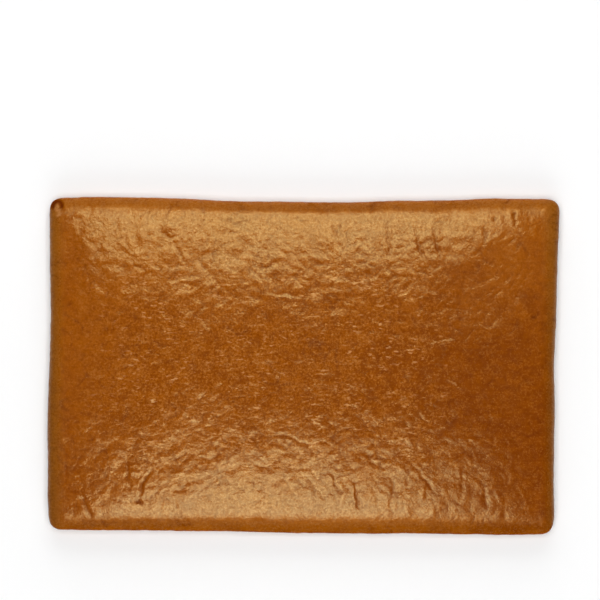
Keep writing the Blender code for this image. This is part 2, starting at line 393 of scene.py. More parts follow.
@dataclass(frozen=True)
class Crust:
    """Everything that makes the crust uneven in height, colour and gloss, and where shade and light
    are painted on it.
    """

    grain: Grain
    swells: Hills = Hills(11, 46 * MM, 0.45 * MM)
    lumps: Hills = Hills(12, 17 * MM, 0.34 * MM)
    lump_softness: float = 0.2
    pebbles: Hills = Hills(21, 6.6 * MM, 0.15 * MM)
    pebble_reach: float = 1.0 * MM
    small: Hills = Hills(22, 3.4 * MM, 0.064 * MM)
    small_reach: float = 0.4 * MM
    pebble_softness: float = 0.25
    pebble_level: float = 0.45
    fine: Hills = Hills(23, 1.9 * MM, 0.03 * MM)
    calm_share: float = 0.15
    calm_along: Pair = (70 * MM, 120 * MM)
    folds: Hills = Hills(24, 10 * MM)
    fold_places: Hills = Hills(25, 16 * MM)
    fold_onset: Pair = (0.0, 0.5)
    fold_depth: float = 0.06 * MM
    fold_width: float = 0.085
    fold_shade: float = 0.5
    warp: Push = Push(2.2 * MM, Hills(31, 9 * MM), Hills(32, 9 * MM))
    wander: Push = Push(1.3 * MM, Hills(33, 4.5 * MM), Hills(34, 4.5 * MM))
    creases: tuple[Crease, ...] = CREASES
    marks: tuple[Crease, ...] = MARKS
    mark_shade: float = 1.8
    flaps: tuple[Crease, ...] = FLAPS
    ridges: tuple[Crease, ...] = RIDGES
    pits: tuple[Pit, ...] = PITS
    rises: tuple[Pit, ...] = RISES
    blister: Blister = Blister()
    valley_heights: Pair = (0.02 * MM, -0.1 * MM)
    tone_and_light_patches: tuple[ToneAndLightPatch, ...] = TONE_AND_LIGHT_PATCHES
    tan: float = 0.36
    tan_along: float = 0.9
    tan_across: float = -1.4
    lively_place: float = -18 * MM
    lively_along: Pair = (122 * MM, 70 * MM)
    lively_across: Pair = (88 * MM, 45 * MM)
    unglazed_near: Pair = (-90 * MM, -96 * MM)
    unglazed_near_share: float = 0.7
    unglazed_far: Pair = (90 * MM, 95 * MM)
    unglazed_far_share: float = 0.35

    def fold_lines(self, plan: Array) -> Array:
        """Short thin folds, from 0 to 1: a Gaussian about the places where hills cross level 0."""
        lines = np.exp(-((self.folds.at(plan) / self.fold_width) ** 2))
        return lines * smooth_step(*self.fold_onset, self.fold_places.at(plan))

    def texture(self, plan: Array) -> Array:
        """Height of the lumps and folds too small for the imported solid.

        Two layers of folded hills, the root of height squared plus softness squared, and one of
        plain hills, less the fold lines. All are read at warped places, so that the lumps lie
        in no rows. The right part is calmer.

        Args:
            plan: Places in plan.

        Returns:
            Heights in metres, within about the pebbles' height of 0.
        """
        warped, total = self.warp.moved(plan), np.zeros(plan.shape)
        layers = ((self.pebbles, self.pebble_reach), (self.small, self.small_reach))
        for hills, reach in layers:
            drawn = self.grain.pulled(hills, warped, reach)
            total += np.hypot(drawn, self.pebble_softness * hills.height)
            total -= self.pebble_level * hills.height
        total = total + self.fine.at(warped) - self.fold_depth * self.fold_lines(warped)
        return total * (1 - self.calm_share * smooth_step(*self.calm_along, plan.real))

    def relief(self, plan: Array) -> Array:
        """The whole relief. Only the creases and ridges wander off their lines.

        Args:
            plan: Places in plan.

        Returns:
            Heights in metres.
        """
        soft, near = self.lump_softness * self.lumps.height, self.wander.moved(plan)
        total = self.swells.at(plan) + (np.hypot(self.lumps.at(plan), soft) - soft)
        total = total + self.texture(plan)
        for crease in (*self.creases, *self.ridges):
            total = total + crease.relief(near)
        for mark in (*self.marks, *self.flaps, *self.pits, *self.rises, self.blister):
            total = total + mark.relief(plan)
        return total

    def creased(self, plan: Array) -> Array:
        """How much dark colour and painted shade the creases, folds and cracks put on the crust.

        Args:
            plan: Places in plan.

        Returns:
            The most of all their shades, from 0 to 1.
        """
        near, folds = self.wander.moved(plan), self.fold_lines(self.warp.moved(plan))
        shades = [self.fold_shade * folds, *(crease.shade(near) for crease in self.creases)]
        shades += [self.mark_shade * mark.shade(plan) for mark in self.marks]
        return np.maximum.reduce(shades)

    def valleys(self, plan: Array) -> Array:
        """1 in the low places between the lumps, 0 on top of them: where the shade is painted."""
        return smooth_step(*self.valley_heights, self.texture(plan))

    def tone_shade_and_light(self, plan: Array) -> Array:
        """How brown the crust is painted: a plane over the sheet, browner to the right and the near
        side, and the broad patches, some of which are painted shade and painted light.
        """
        plane = self.tan + self.tan_along * plan.real + self.tan_across * plan.imag
        return plane + sum(patch.at(plan) for patch in self.tone_and_light_patches)

    def pale(self, plan: Array) -> Array:
        """How much painted highlight the blister's torn flaps put on the crust, from 0 to 1."""
        profiles = (flap.profile(plan) for flap in self.flaps)
        return sum(strength * np.exp(-(away**2)) for away, strength in profiles)

    def lively(self, plan: Array) -> Array:
        """How much the crust glints: 1 in the middle, 0 at all four sides."""
        along = smooth_step(*self.lively_along, np.abs(plan.real - self.lively_place))
        return along * smooth_step(*self.lively_across, np.abs(plan.imag))

    def unglazed(self, plan: Array) -> Array:
        """How thin the glaze is: most at the near foot of the crust, and less at the far one."""
        near = self.unglazed_near_share * smooth_step(*self.unglazed_near, plan.imag)
        return near + self.unglazed_far_share * smooth_step(*self.unglazed_far, plan.imag)

    def pit_tone_and_shade(self, plan: Array) -> Array:
        """How much dark colour and painted shade the pits and the blister put on the crust, from 0
        to 1.
        """
        return np.maximum.reduce([mark.shade(plan) for mark in (*self.pits, self.blister)])


# ---- Form of the slab


class Side(Enum):
    """The slab's sides: how far each stands inside the overall rectangle, in mm, at even steps.

    The first number is the row of the ripples' table that the side reads, so that no two sides
    ripple alike.
    """

    FAR = (0.5, (0.9, 0.0, 1.2, 2.7, 3.0, 2.7, 2.0, 1.2, 1.3))
    NEAR = (10.5, (2.9, 2.5, 2.1, 1.7, 0.6, 0.4, 0.4, 0.0, 0.3))
    LEFT = (20.5, (0.6, 0.1, 0.6, 1.2, 2.0, 1.5, 1.4))
    RIGHT = (30.5, (3.4, 3.1, 3.1, 3.2, 2.4, 1.2, 0.0))


@dataclass(frozen=True)
class SlabForm:
    """The slab without its relief: flat core, rounded rim, low crown, side tucked under."""

    length: float
    width: float
    bulge_height: float = 5 * MM
    rim_height: float = 10.2 * MM
    crown_rise: float = 4.4 * MM
    crown_power: float = 2.4
    shoulder_rise: float = 2.0 * MM
    shoulder_power: float = 12.0
    foot_inset: float = 2 * MM
    end_rims: Pair = (10 * MM, 10 * MM)
    side_rims: Pair = (14 * MM, 10 * MM)
    rim_power: float = 2.5
    corner_powers: tuple[Pair, Pair] = ((3.4, 3.0), (3.3, 2.8))
    bow_power: float = 3.0
    ripples: Hills = Hills(13, 25 * MM, 0.3 * MM)

    def rim_arc(self, width: float) -> float:
        """About the skin's length over a rim: a quarter ellipse's, by Ramanujan's formula."""
        drop = self.rim_height - self.bulge_height
        root = math.sqrt((3 * width + drop) * (width + 3 * drop))
        return math.pi / 4 * (3 * (width + drop) - root)

    def stations(self, size: float, rims: Pair, count: int) -> Array:
        """Even steps over the unrolled skin, with this many cells from rim to rim."""
        low, high = (size / 2 - rim + self.rim_arc(rim) for rim in rims)
        return np.linspace(-low, high, count + 1)

    def inset(self, side: Side, place: Array, size: float) -> Array:
        """How far a side of this size stands in at places along it: its bow, and ripples."""
        row, insets = side.value
        ripple = self.ripples.at(place + 1j * row * self.ripples.spacing)
        return smooth_curve(insets, place / size + 0.5) * MM + ripple

    def bow(self, plan: Array) -> Array:
        """Moves places in plan inwards, as the sides bow, more the nearer they are to a side.

        Args:
            plan: Places in plan.

        Returns:
            The moved places: each coordinate less its side's inset times the share of the way
            out, raised to the bow power.
        """
        x, y = plan.real, plan.imag
        left, right = (self.inset(side, y, self.width) for side in (Side.LEFT, Side.RIGHT))
        near, far = (self.inset(side, x, self.length) for side in (Side.NEAR, Side.FAR))
        pull_x = np.abs(2 * x / self.length) ** self.bow_power * np.where(x > 0, right, left)
        pull_y = np.abs(2 * y / self.width) ** self.bow_power * np.where(y > 0, far, near)
        return plan - np.sign(x) * pull_x - 1j * np.sign(y) * pull_y

    def crown(self, plan: Array) -> Array:
        """Rise above the rim.

        Two terms rise * (1 - |x|^p) (1 - |y|^p), with x and y as shares of the way out: a broad
        crown, and a shoulder of a higher power, flat but for its edges.

        Args:
            plan: Places in plan.

        Returns:
            Heights in metres.
        """
        along = np.clip(np.abs(2 * plan.real / self.length), 0, 1)
        across = np.clip(np.abs(2 * plan.imag / self.width), 0, 1)
        terms = ((self.crown_rise, self.crown_power), (self.shoulder_rise, self.shoulder_power))
        return sum(rise * (1 - along**power) * (1 - across**power) for rise, power in terms)

    def wrap(self, u: Array, v: Array, below: Array, crust: Crust) -> Array:
        """Positions of points of the unrolled skin.

        Past the flat core, u and v turn over the rounded rim, a quarter superellipse. In a
        corner, the larger of the two excesses gives how far the rim has turned and their ratio
        the direction in plan, along a superellipse. The relief is added along the skin's lean.

        Args:
            u: Lengths along the skin from its middle.
            v: Lengths across the skin from its middle.
            below: 0 on the crust, and up to 1 down the side, at the underside.
            crust: The relief.

        Returns:
            Positions in metres, one row each.
        """
        rim_x, rim_y = np.where(u < 0, *self.end_rims), np.where(v < 0, *self.side_rims)
        arc_x = np.where(u < 0, *map(self.rim_arc, self.end_rims))
        arc_y = np.where(v < 0, *map(self.rim_arc, self.side_rims))
        over_x = np.clip((np.abs(u) - self.length / 2 + rim_x) / arc_x, 0, 1)
        over_y = np.clip((np.abs(v) - self.width / 2 + rim_y) / arc_y, 0, 1)
        over = np.maximum(over_x, over_y)
        ratio = np.minimum(over_x, over_y) / np.where(over > 0, over, 1)
        heading = math.pi / 4 * np.where(over_x >= over_y, ratio, 2 - ratio)
        power = np.array(self.corner_powers)[(v > 0).astype(int), (u > 0).astype(int)]
        squared = (np.cos(heading) ** power + np.sin(heading) ** power) ** (-1 / power)
        out_x, out_y = np.sign(u) * np.cos(heading), np.sign(v) * np.sin(heading)

        turned, tucked = over * math.pi / 2, below * math.pi / 2
        rim_out = np.sin(turned) ** (2 / self.rim_power)
        rim_up = np.cos(turned) ** (2 / self.rim_power)
        reach = squared * rim_out
        half_x, half_y = self.length / 2 - rim_x, self.width / 2 - rim_y
        core_x, core_y = np.clip(u, -half_x, half_x), np.clip(v, -half_y, half_y)
        x, y = core_x + rim_x * reach * out_x, core_y + rim_y * reach * out_y
        plan = self.bow(x + 1j * y)

        drop = self.rim_height - self.bulge_height
        rim = np.hypot(rim_x * out_x, rim_y * out_y)
        steep = self.rim_power - 1
        lean = np.arctan2(drop * rim_out**steep, rim * rim_up**steep)
        relief = crust.relief(plan) * np.cos(tucked)
        sideways = relief * np.sin(lean) - self.foot_inset * (1 - np.cos(tucked))
        top = self.bulge_height + (drop + self.crown(plan)) * rim_up
        foot = self.bulge_height * (1 - np.sin(tucked))
        z = np.where(below > 0, foot, top + relief * np.cos(lean))
        x, y = plan.real + out_x * sideways, plan.imag + out_y * sideways
        return np.stack([x, y, z], axis=-1)


# ---- Node trees written as expressions


@dataclass(frozen=True)
class Wire:
    """A number or colour in a node tree: one output. Arithmetic on it adds Math nodes."""

    tree: "NodeTree"
    socket: bpy.types.NodeSocket

    def _math(self, operation: str, *values: "Wire | float") -> "Wire":
        """A Math node on some values."""
        return self.tree.add("Math", {"operation": operation}, dict(enumerate(values)))

    def __add__(self, other: "Wire | float") -> "Wire":
        """self + other."""
        return self._math("ADD", self, other)

    def __sub__(self, other: "Wire | float") -> "Wire":
        """self - other."""
        return self._math("SUBTRACT", self, other)

    def __rsub__(self, other: float) -> "Wire":
        """other - self."""
        return self._math("SUBTRACT", other, self)

    def __mul__(self, other: "Wire | float") -> "Wire":
        """self * other."""
        return self._math("MULTIPLY", self, other)

    __radd__, __rmul__ = __add__, __mul__

    def __abs__(self) -> "Wire":
        """The size of self."""
        return self._math("ABSOLUTE", self)

    def floored(self, low: float) -> "Wire":
        """Self, or low where self is lower."""
        return self._math("MAXIMUM", self, low)

    def ramp(self, low: float, high: float) -> "Wire":
        """0 up to low, 1 from high, and a smooth step between them."""
        inputs = {"Value": self, "From Min": low, "From Max": high}
        return self.tree.add("MapRange", {"interpolation_type": "SMOOTHSTEP"}, inputs)


@dataclass(frozen=True)
class Noise:
    """A noise: weight, lumps to the metre, detail, stretch along the axes, and harshness."""

    weight: float
    scale: float
    detail: float = 2.0
    stretch: Triple = (1.0, 1.0, 1.0)
    harshness: float = 0.5


@dataclass(frozen=True)
class NodeTree:
    """Adds nodes to one material's, lamp's or world's node tree."""

    tree: bpy.types.NodeTree

    def add(
        self,
        kind: str,
        settings: dict[str, object] | None = None,
        inputs: dict[str | int, object] | None = None,
        output: str | int = 0,
    ) -> Wire:
        """Adds a node.

        Args:
            kind: The node's type, less the "ShaderNode" in front.
            settings: Properties, set before the sockets.
            inputs: Values or wires of its sockets, by name or number.
            output: The socket to give back.

        Returns:
            A wire from that output.
        """
        node = self.tree.nodes.new("ShaderNode" + kind)
        for name, value in (settings or {}).items():
            setattr(node, name, value)
        self.feed(node.name, inputs or {})
        return Wire(self, node.outputs[output])

    def feed(self, name: str, inputs: dict[str | int, object]) -> bpy.types.Node:
        """Sets or links the sockets of a node.

        Args:
            name: The node's name.
            inputs: Values or wires of its sockets, by name or number.

        Returns:
            The node.
        """
        node = self.tree.nodes[name]
        for socket, value in inputs.items():
            if isinstance(value, Wire):
                self.tree.links.new(value.socket, node.inputs[socket])
            else:
                node.inputs[socket].default_value = value
        return node

    def mix(self, share: Wire, first: object, second: object, blend: str = "MIX") -> Wire:
        """A colour between two colours."""
        settings = {"data_type": "RGBA", "blend_type": blend, "clamp_factor": True}
        return self.add("Mix", settings, {0: share, 6: first, 7: second}, 2)

    @cache
    def noise(self, noise: Noise) -> Wire:
        """A noise on Object coordinates.

        Args:
            noise: Its settings.

        Returns:
            A value about 0.
        """
        place = self.add("TexCoord", output="Object")
        place = self.add("Mapping", None, {"Vector": place, "Scale": noise.stretch})
        inputs = {"Vector": place, "Scale": noise.scale, "Detail": noise.detail}
        inputs["Roughness"] = noise.harshness
        return noise.weight * (self.add("TexNoise", None, inputs) - 0.5)

    @cache
    def mask(self, name: str) -> Wire:
        """A number stored on the mesh's points."""
        settings = {"attribute_type": "GEOMETRY", "attribute_name": name}
        return self.add("Attribute", settings, output="Fac")


def opaque(colour: Colour) -> tuple[float, float, float, float]:
    """A colour with full alpha."""
    return (*colour, 1.0)


# ---- Finishes


@dataclass(frozen=True)
class GlazedCrust:
    """The baked crust under its egg glaze, with bare pores, painted glints, shade and light, and
    the dry underside.

    Colours are linear. A share is how far a colour goes over to another.
    """

    amber: Colour = (0.322, 0.078, 0.0015)
    brown: Colour = (0.17, 0.0285, 0.0001)
    # Dark crust colour with painted shade, in the creases, folds and cracks.
    deep: Colour = (0.11, 0.016, 0.0001)
    # Dark crust colour with painted shade, in the pits and the blister's trough.
    pit_tone_and_shade: Colour = (0.12, 0.019, 0.001)
    dry: Colour = (0.215, 0.095, 0.036)
    # Painted shade at the short ends: a duller, darker tone.
    end_shade: Colour = (0.205, 0.072, 0.007)
    rim_tint: Colour = (1.0, 1.12, 1.25)
    light_fleck: Colour = (0.42, 0.138, 0.018)
    dark_fleck: Colour = (0.19, 0.036, 0.0)
    # Painted glints, and the painted highlight on the blister's torn flaps.
    glint: Colour = (0.55, 0.24, 0.075)
    gloss_tint: Colour = (1.0, 0.84, 0.41)
    patches: Noise = Noise(0.7, 45, 4)
    blotches: Noise = Noise(0.85, 190)
    strokes: Noise = Noise(0.6, 60, 3, (1, 8, 1))
    # Painted shade in the valleys between the lumps.
    valley_shade: float = 0.5
    tone_shade_and_light_ends: Pair = (-0.25, 1.35)
    end_shade_share: float = 0.4
    crease_share: float = 0.55
    flap_highlight_share: float = 0.7
    flecks: Noise = Noise(1, 800, harshness=0.8)
    fleck_contrast: float = 3.2
    fleck_base: float = 0.66
    lively_flecks: float = 0.7
    rim_flecks: float = 0.28
    mottle: Noise = Noise(0.35, 150, 3, harshness=0.6)
    threads: Noise = Noise(1, 480, 2, (0.5, 1.25, 1))
    thread_flecks: float = 0.2
    clusters: Noise = Noise(1, 75)
    glint_share: float = 0.85
    glint_threads: Pair = (0.08, 0.22)
    glint_clusters: Pair = (-0.07, 0.08)
    grain_depth: float = 0.045 * MM
    fine_grain: Noise = Noise(1, 1500, 1)
    grain: Noise = Noise(1.6, 800, 1)
    pores: Noise = Noise(4, 330, 4)
    roughness: float = 0.13
    least_roughness: float = 0.06
    dry_roughness: float = 0.8
    rim_roughness: float = 0.2
    rough_blotches: Noise = Noise(0.15, 190)
    specks: Noise = Noise(0.15, 700)
    pit_gloss: float = 0.15
    crease_roughness: float = 0.1
    specular_level: float = 0.75
    bare_share: float = 0.28
    bare_contrast: float = 1.9
    bare_creases: float = 0.5
    bare_roughness: float = 0.6
    bare_specular: float = 0.0

    def baked(self, tree: NodeTree) -> Wire:
        """The crust's colour before its flecks.

        Amber to brown by place, in patches, blotches and strokes, with painted shade in the
        valleys and in some broad patches, and painted light in others. The short ends carry painted
        shade, duller and darker, and the rim is paler.

        Args:
            tree: The finish's node tree.

        Returns:
            The colour.
        """
        # Painted shade in the valleys, added to the tone.
        tone_shade_and_light_sum = tree.mask("tone_shade_and_light") + self.valley_shade * tree.mask("valley")
        for noise in (self.patches, self.blotches, self.strokes):
            tone_shade_and_light_sum = tone_shade_and_light_sum + tree.noise(noise)
        share = tone_shade_and_light_sum.ramp(*self.tone_shade_and_light_ends)
        colour = tree.mix(share, opaque(self.amber), opaque(self.brown))
        # Painted shade at the short ends.
        colour = tree.mix(self.end_shade_share * tree.mask("ends"), colour, opaque(self.end_shade))
        return tree.mix(tree.mask("rim"), colour, opaque(self.rim_tint), "MULTIPLY")

    def flecked(self, tree: NodeTree, colour: Wire) -> Wire:
        """The crust's colour with its flecks, painted glints, painted shade and painted highlight.

        Noise above 0 makes light flecks and noise below 0 dark ones, strongest in the lively
        middle. Painted glints are the threads' peaks inside clusters. The creases, pits and blister
        get dark colour with painted shade, and the torn flaps a painted highlight.

        Args:
            tree: The finish's node tree.
            colour: The colour so far.

        Returns:
            The colour.
        """
        lively, threads = tree.mask("lively"), tree.noise(self.threads)
        contrast = self.fleck_base + self.lively_flecks * lively
        contrast = contrast - self.rim_flecks * tree.mask("rim")
        fleck = tree.noise(self.flecks) + self.thread_flecks * lively * threads
        fleck = self.fleck_contrast * contrast * (fleck + tree.noise(self.mottle))
        clusters = tree.noise(self.clusters).ramp(*self.glint_clusters)
        # Painted glints: the threads' peaks inside clusters.
        glints = self.glint_share * lively * clusters * threads.ramp(*self.glint_threads)
        layers = (
            (fleck.floored(0.0), self.light_fleck),
            ((0.0 - fleck).floored(0.0), self.dark_fleck),
            # Painted glints.
            (glints, self.glint),
            # Dark crust colour with painted shade in the creases, folds and cracks.
            (self.crease_share * tree.mask("creased"), self.deep),
            # Dark crust colour with painted shade in the pits and the blister's trough.
            (tree.mask("pit_tone_and_shade"), self.pit_tone_and_shade),
            # Painted highlight on the blister's torn flaps.
            (self.flap_highlight_share * tree.mask("pale"), self.glint),
            (tree.mask("under"), self.dry),
        )
        for share, tone in layers:
            colour = tree.mix(share, colour, opaque(tone))
        return colour

    def bump(self, tree: NodeTree) -> Wire:
        """The fine grain of the crust and the pores of the underside.

        Args:
            tree: The finish's node tree.

        Returns:
            The normal.
        """
        under = tree.mask("under")
        grain = tree.noise(self.fine_grain) + tree.noise(self.grain)
        height = grain * (1 - under) + under * tree.noise(self.pores)
        inputs = {"Height": height, "Strength": 1.0, "Distance": self.grain_depth}
        return tree.add("Bump", None, inputs)

    def rough(self, tree: NodeTree) -> Wire:
        """The glaze's roughness: blotchy and specked, duller on the rim, matte underneath.

        Args:
            tree: The finish's node tree.

        Returns:
            The roughness.
        """
        rough = self.roughness + tree.noise(self.rough_blotches) + tree.noise(self.specks)
        rough = rough - self.pit_gloss * tree.mask("pit_tone_and_shade")
        rough = rough + self.crease_roughness * tree.mask("creased")
        rough = rough + self.rim_roughness * tree.mask("rim")
        dryness = self.dry_roughness - self.roughness
        return rough.floored(self.least_roughness) + tree.mask("under") * dryness

    def material(self) -> bpy.types.Material:
        """Builds the finish.

        Returns:
            A glazed Principled shader, mixed with a bare one without gloss in the pores, the
            creases, the pits and the blister, and where the glaze is thin.
        """
        material = bpy.data.materials.new(SLOT)
        material.use_nodes = True
        tree = NodeTree(material.node_tree)
        inputs = {"Base Color": self.flecked(tree, self.baked(tree)), "Normal": self.bump(tree)}
        dull = {"Roughness": self.bare_roughness, "Specular IOR Level": self.bare_specular}
        bare = tree.add("BsdfPrincipled", None, inputs | dull)
        gloss = {"Roughness": self.rough(tree), "Specular IOR Level": self.specular_level}
        gloss["Specular Tint"] = opaque(self.gloss_tint)
        glazed = tree.feed("Principled BSDF", inputs | gloss)

        share = self.bare_share - self.bare_contrast * tree.noise(self.flecks)
        share = share + self.bare_creases * tree.mask("creased")
        share = share + tree.mask("pit_tone_and_shade") + tree.mask("unglazed")
        shaders = {0: share.floored(0.0), 1: Wire(tree, glazed.outputs[0]), 2: bare}
        tree.feed("Material Output", {"Surface": tree.add("MixShader", None, shaders)})
        return material


@dataclass(frozen=True)
class PaleFloor:
    """The plain pale floor."""

    colour: Colour = (0.96, 0.96, 0.96)
    roughness: float = 0.9

    def material(self) -> bpy.types.Material:
        """Builds the finish.

        Returns:
            A matte Principled shader.
        """
        material = bpy.data.materials.new("pale_floor")
        material.use_nodes = True
        matte = {"Roughness": self.roughness, "Specular IOR Level": 0.0}
        matte["Base Color"] = opaque(self.colour)
        NodeTree(material.node_tree).feed("Principled BSDF", matte)
        return material


# ---- The sheet


@dataclass
class GingerbreadSheet:
    """The slab's skin: upper grid of cells along and across, rings down the side, underside."""

    form: SlabForm
    crust: Crust
    box: tuple[Vector, Vector]
    finish: GlazedCrust = GlazedCrust()
    cells: tuple[int, int] = (368, 240)
    side_rings: int = 5
    halvings: int = 3
    under_shrink: Triple = (0.02, 0.03, 0.0)
    end_band: Pair = (11 * MM, 3 * MM)
    rim_band: Pair = (13 * MM, 5 * MM)
    under_depths: Pair = (0.35, 1.0)

    def perimeter(self) -> Array:
        """Numbers of the upper grid's outer points, in order round the sheet."""
        return outline(numbered(0, *self.cells))

    def skin_points(self) -> tuple[Array, Array]:
        """Points of the upper skin and of the rings down the side.

        Returns:
            Positions, and how far below the crust's edge each one is, from 0 to 1.
        """
        form = self.form
        u, v = np.meshgrid(
            form.stations(form.length, form.end_rims, self.cells[0]),
            form.stations(form.width, form.side_rims, self.cells[1]),
        )
        u, v = u.ravel(), v.ravel()
        edge = self.perimeter()
        depths = np.arange(1, self.side_rings + 1) / self.side_rings
        below = np.concatenate([np.zeros(u.size), np.repeat(depths, edge.size)])
        u = np.concatenate([u, np.tile(u[edge], self.side_rings)])
        v = np.concatenate([v, np.tile(v[edge], self.side_rings)])
        return form.wrap(u, v, below, self.crust), below

    def fit(self, points: Array) -> Array:
        """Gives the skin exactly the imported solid's length and width, and at most its height.

        Args:
            points: The skin's points.

        Returns:
            The same points, scaled along each axis.
        """
        low, high = (np.array(corner) for corner in self.box)
        lowest, highest = points.min(0), points.max(0)
        scale = (high - low) / (highest - lowest)
        points[:, :2] = (points[:, :2] - lowest[:2]) * scale[:2] + low[:2]
        points[:, 2] *= min(1.0, high[2] / highest[2])
        return points

    def patch(self, ring: Array, columns: int, rows: int) -> Array:
        """A flat grid inside a ring of points.

        It is a Coons patch: the blend of the two long sides, plus the blend of the two short
        sides, less the blend of the four corners.

        Args:
            ring: The ring's points, from the near left corner round by the right.
            columns: Cells along.
            rows: Cells across.

        Returns:
            Positions of the grid's points, row by row.
        """
        near, right = ring[: columns + 1], ring[columns : columns + rows + 1]
        far = ring[columns + rows : 2 * columns + rows + 1][::-1]
        left = np.concatenate([ring[2 * columns + rows :], ring[:1]])[::-1]
        s = np.linspace(0, 1, columns + 1)[None, :, None]
        t = np.linspace(0, 1, rows + 1)[:, None, None]
        sides = (1 - t) * near[None] + t * far[None] + (1 - s) * left[:, None] + s * right[:, None]
        corners = (1 - t) * ((1 - s) * near[0] + s * near[-1])
        corners = corners + t * ((1 - s) * far[0] + s * far[-1])
        return (sides - corners).reshape(-1, 3)

    def faces(self) -> tuple[list[Array], int]:
        """Faces of the skin, the side and the underside, all pointing out.

        Returns:
            Arrays of quads and of triangles, and the number of points.
        """
        upper = numbered(0, *self.cells)
        groups = [quads(upper)]
        ring, start = outline(upper), upper.size
        for _ in range(self.side_rings):
            lower = start + np.arange(ring.size)
            groups.append(band(ring, lower))
            ring, start = lower, start + ring.size
        for _ in range(self.halvings - 1):
            lower = start + np.arange(ring.size // 2)
            groups.append(halving_band(ring, lower))
            ring, start = lower, start + lower.size
        inner = numbered(start, *(cells // 2**self.halvings for cells in self.cells))
        groups.append(halving_band(ring, outline(inner)))
        groups.append(quads(inner)[:, ::-1])
        return groups, start + inner.size

    def masks(self, plan: Array, depth: Array) -> dict[str, Array]:
        """Numbers for the finish, from 0 to 1 or so.

        Args:
            plan: Places of the points in plan.
            depth: How far below the crust's edge each point is, from 0 to 1.

        Returns:
            A number for each point under each mask's name.
        """
        from_end = self.form.length / 2 - np.abs(plan.real)
        inwards = np.minimum(from_end, self.form.width / 2 - np.abs(plan.imag))
        on_top = depth == 0
        return {
            # Tone, with painted shade and painted light in some patches.
            "tone_shade_and_light": self.crust.tone_shade_and_light(plan),
            # Where shade is painted in the valleys.
            "valley": self.crust.valleys(plan) * (1 - depth),
            # Dark colour with painted shade in the creases, folds and cracks.
            "creased": self.crust.creased(plan) * on_top,
            # Dark colour with painted shade in the pits and the blister's trough.
            "pit_tone_and_shade": self.crust.pit_tone_and_shade(plan) * on_top,
            # Where a highlight is painted on the blister's torn flaps.
            "pale": self.crust.pale(plan) * on_top,
            "lively": self.crust.lively(plan),
            "unglazed": self.crust.unglazed(plan),
            # Where shade is painted at the short ends.
            "ends": smooth_step(*self.end_band, from_end),
            "rim": smooth_step(*self.rim_band, inwards),
            "under": smooth_step(*self.under_depths, depth),
        }

    def build(self) -> bpy.types.Object:
        """Builds and dresses the sheet.

        Returns:
            The finished object, with its place in its mesh.
        """
        skin, below = self.skin_points()
        skin = self.fit(skin)
        rings = [skin[-self.perimeter().size :]]
        for _ in range(self.halvings):
            rings.append(rings[-1][::2] * (1 - np.array(self.under_shrink)))
        inner = self.patch(rings[-1], *(cells // 2**self.halvings for cells in self.cells))
        points = np.concatenate([skin, *rings[1:-1], inner])
        depth = np.pad(below, (0, len(points) - len(below)), constant_values=1.0)
        groups, total = self.faces()
        assert total == len(points), "faces and points disagree"

        mesh = mesh_from(NODE + "_skin", points, groups)
        for name, values in self.masks(points[:, 0] + 1j * points[:, 1], depth).items():
            store(mesh, name, values)
        mesh.materials.append(self.finish.material())
        sheet = placed(NODE + "_skin", mesh)
        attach(sheet, "root")
        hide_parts(NODE)
        return sheet


def numbered(start: int, columns: int, rows: int) -> Array:
    """Point numbers, from start, of a grid of this many cells, row by row."""
    count = (rows + 1) * (columns + 1)
    return start + np.arange(count).reshape(rows + 1, columns + 1)


def outline(number: Array) -> Array:
    """A grid's outer point numbers, from the near left corner round by the right."""
    return np.concatenate([number[0, :-1], number[:-1, -1], number[-1, :0:-1], number[:0:-1, 0]])


def quads(number: Array) -> Array:
    """Quads of a grid of point numbers, with their faces towards the grid's upper side."""
    corners = number[:-1, :-1], number[:-1, 1:], number[1:, 1:], number[1:, :-1]
    return np.stack(corners, axis=-1).reshape(-1, 4)


def band(upper: Array, lower: Array) -> Array:
    """Quads between two closed rings of as many points."""
    return np.stack([upper, lower, np.roll(lower, -1), np.roll(upper, -1)], axis=-1)


def halving_band(outer: Array, inner: Array) -> Array:
    """Triangles between two closed rings: three for every second point of the outer one.

    Args:
        outer: The outer ring's point numbers.
        inner: The inner ring's, half as many.

    Returns:
        The triangles.
    """
    first, middle, last = outer[::2], outer[1::2], np.roll(outer[::2], -1)
    following = np.roll(inner, -1)
    faces = ((first, inner, middle), (middle, inner, following), (middle, following, last))
    return np.concatenate([np.stack(corners, axis=-1) for corners in faces])


def mesh_from(name: str, points: Array, groups: list[Array]) -> bpy.types.Mesh:
    """A smooth-shaded mesh from arrays.

    Args:
        name: The mesh's name.
        points: Positions, one row each.
        groups: Arrays of faces, each with as many corners as its columns.

    Returns:
        The mesh.
    """
    corners = np.concatenate([group.ravel() for group in groups])
    counts = np.concatenate([np.full(len(group), group.shape[1]) for group in groups])
    mesh = bpy.data.meshes.new(name)
    mesh.vertices.add(len(points))
    mesh.vertices.foreach_set("co", points.astype(np.float32).ravel())
    mesh.loops.add(len(corners))
    mesh.loops.foreach_set("vertex_index", corners.astype(np.int32))
    mesh.polygons.add(len(counts))
    mesh.polygons.foreach_set("loop_start", (np.cumsum(counts) - counts).astype(np.int32))
    mesh.update(calc_edges=True)
    mesh.validate()
    mesh.shade_smooth()
    return mesh


def placed(name: str, data: bpy.types.ID) -> bpy.types.Object:
    """A new object in the scene, at the origin."""
    thing = bpy.data.objects.new(name, data)
    bpy.context.scene.collection.objects.link(thing)
    return thing


def store(mesh: bpy.types.Mesh, name: str, values: Array) -> None:
    """Keeps one number for each point of a mesh."""
    attribute = mesh.attributes.new(name, "FLOAT", "POINT")
    attribute.data.foreach_set("value", values.astype(np.float32))


# ---- Floor, light and camera


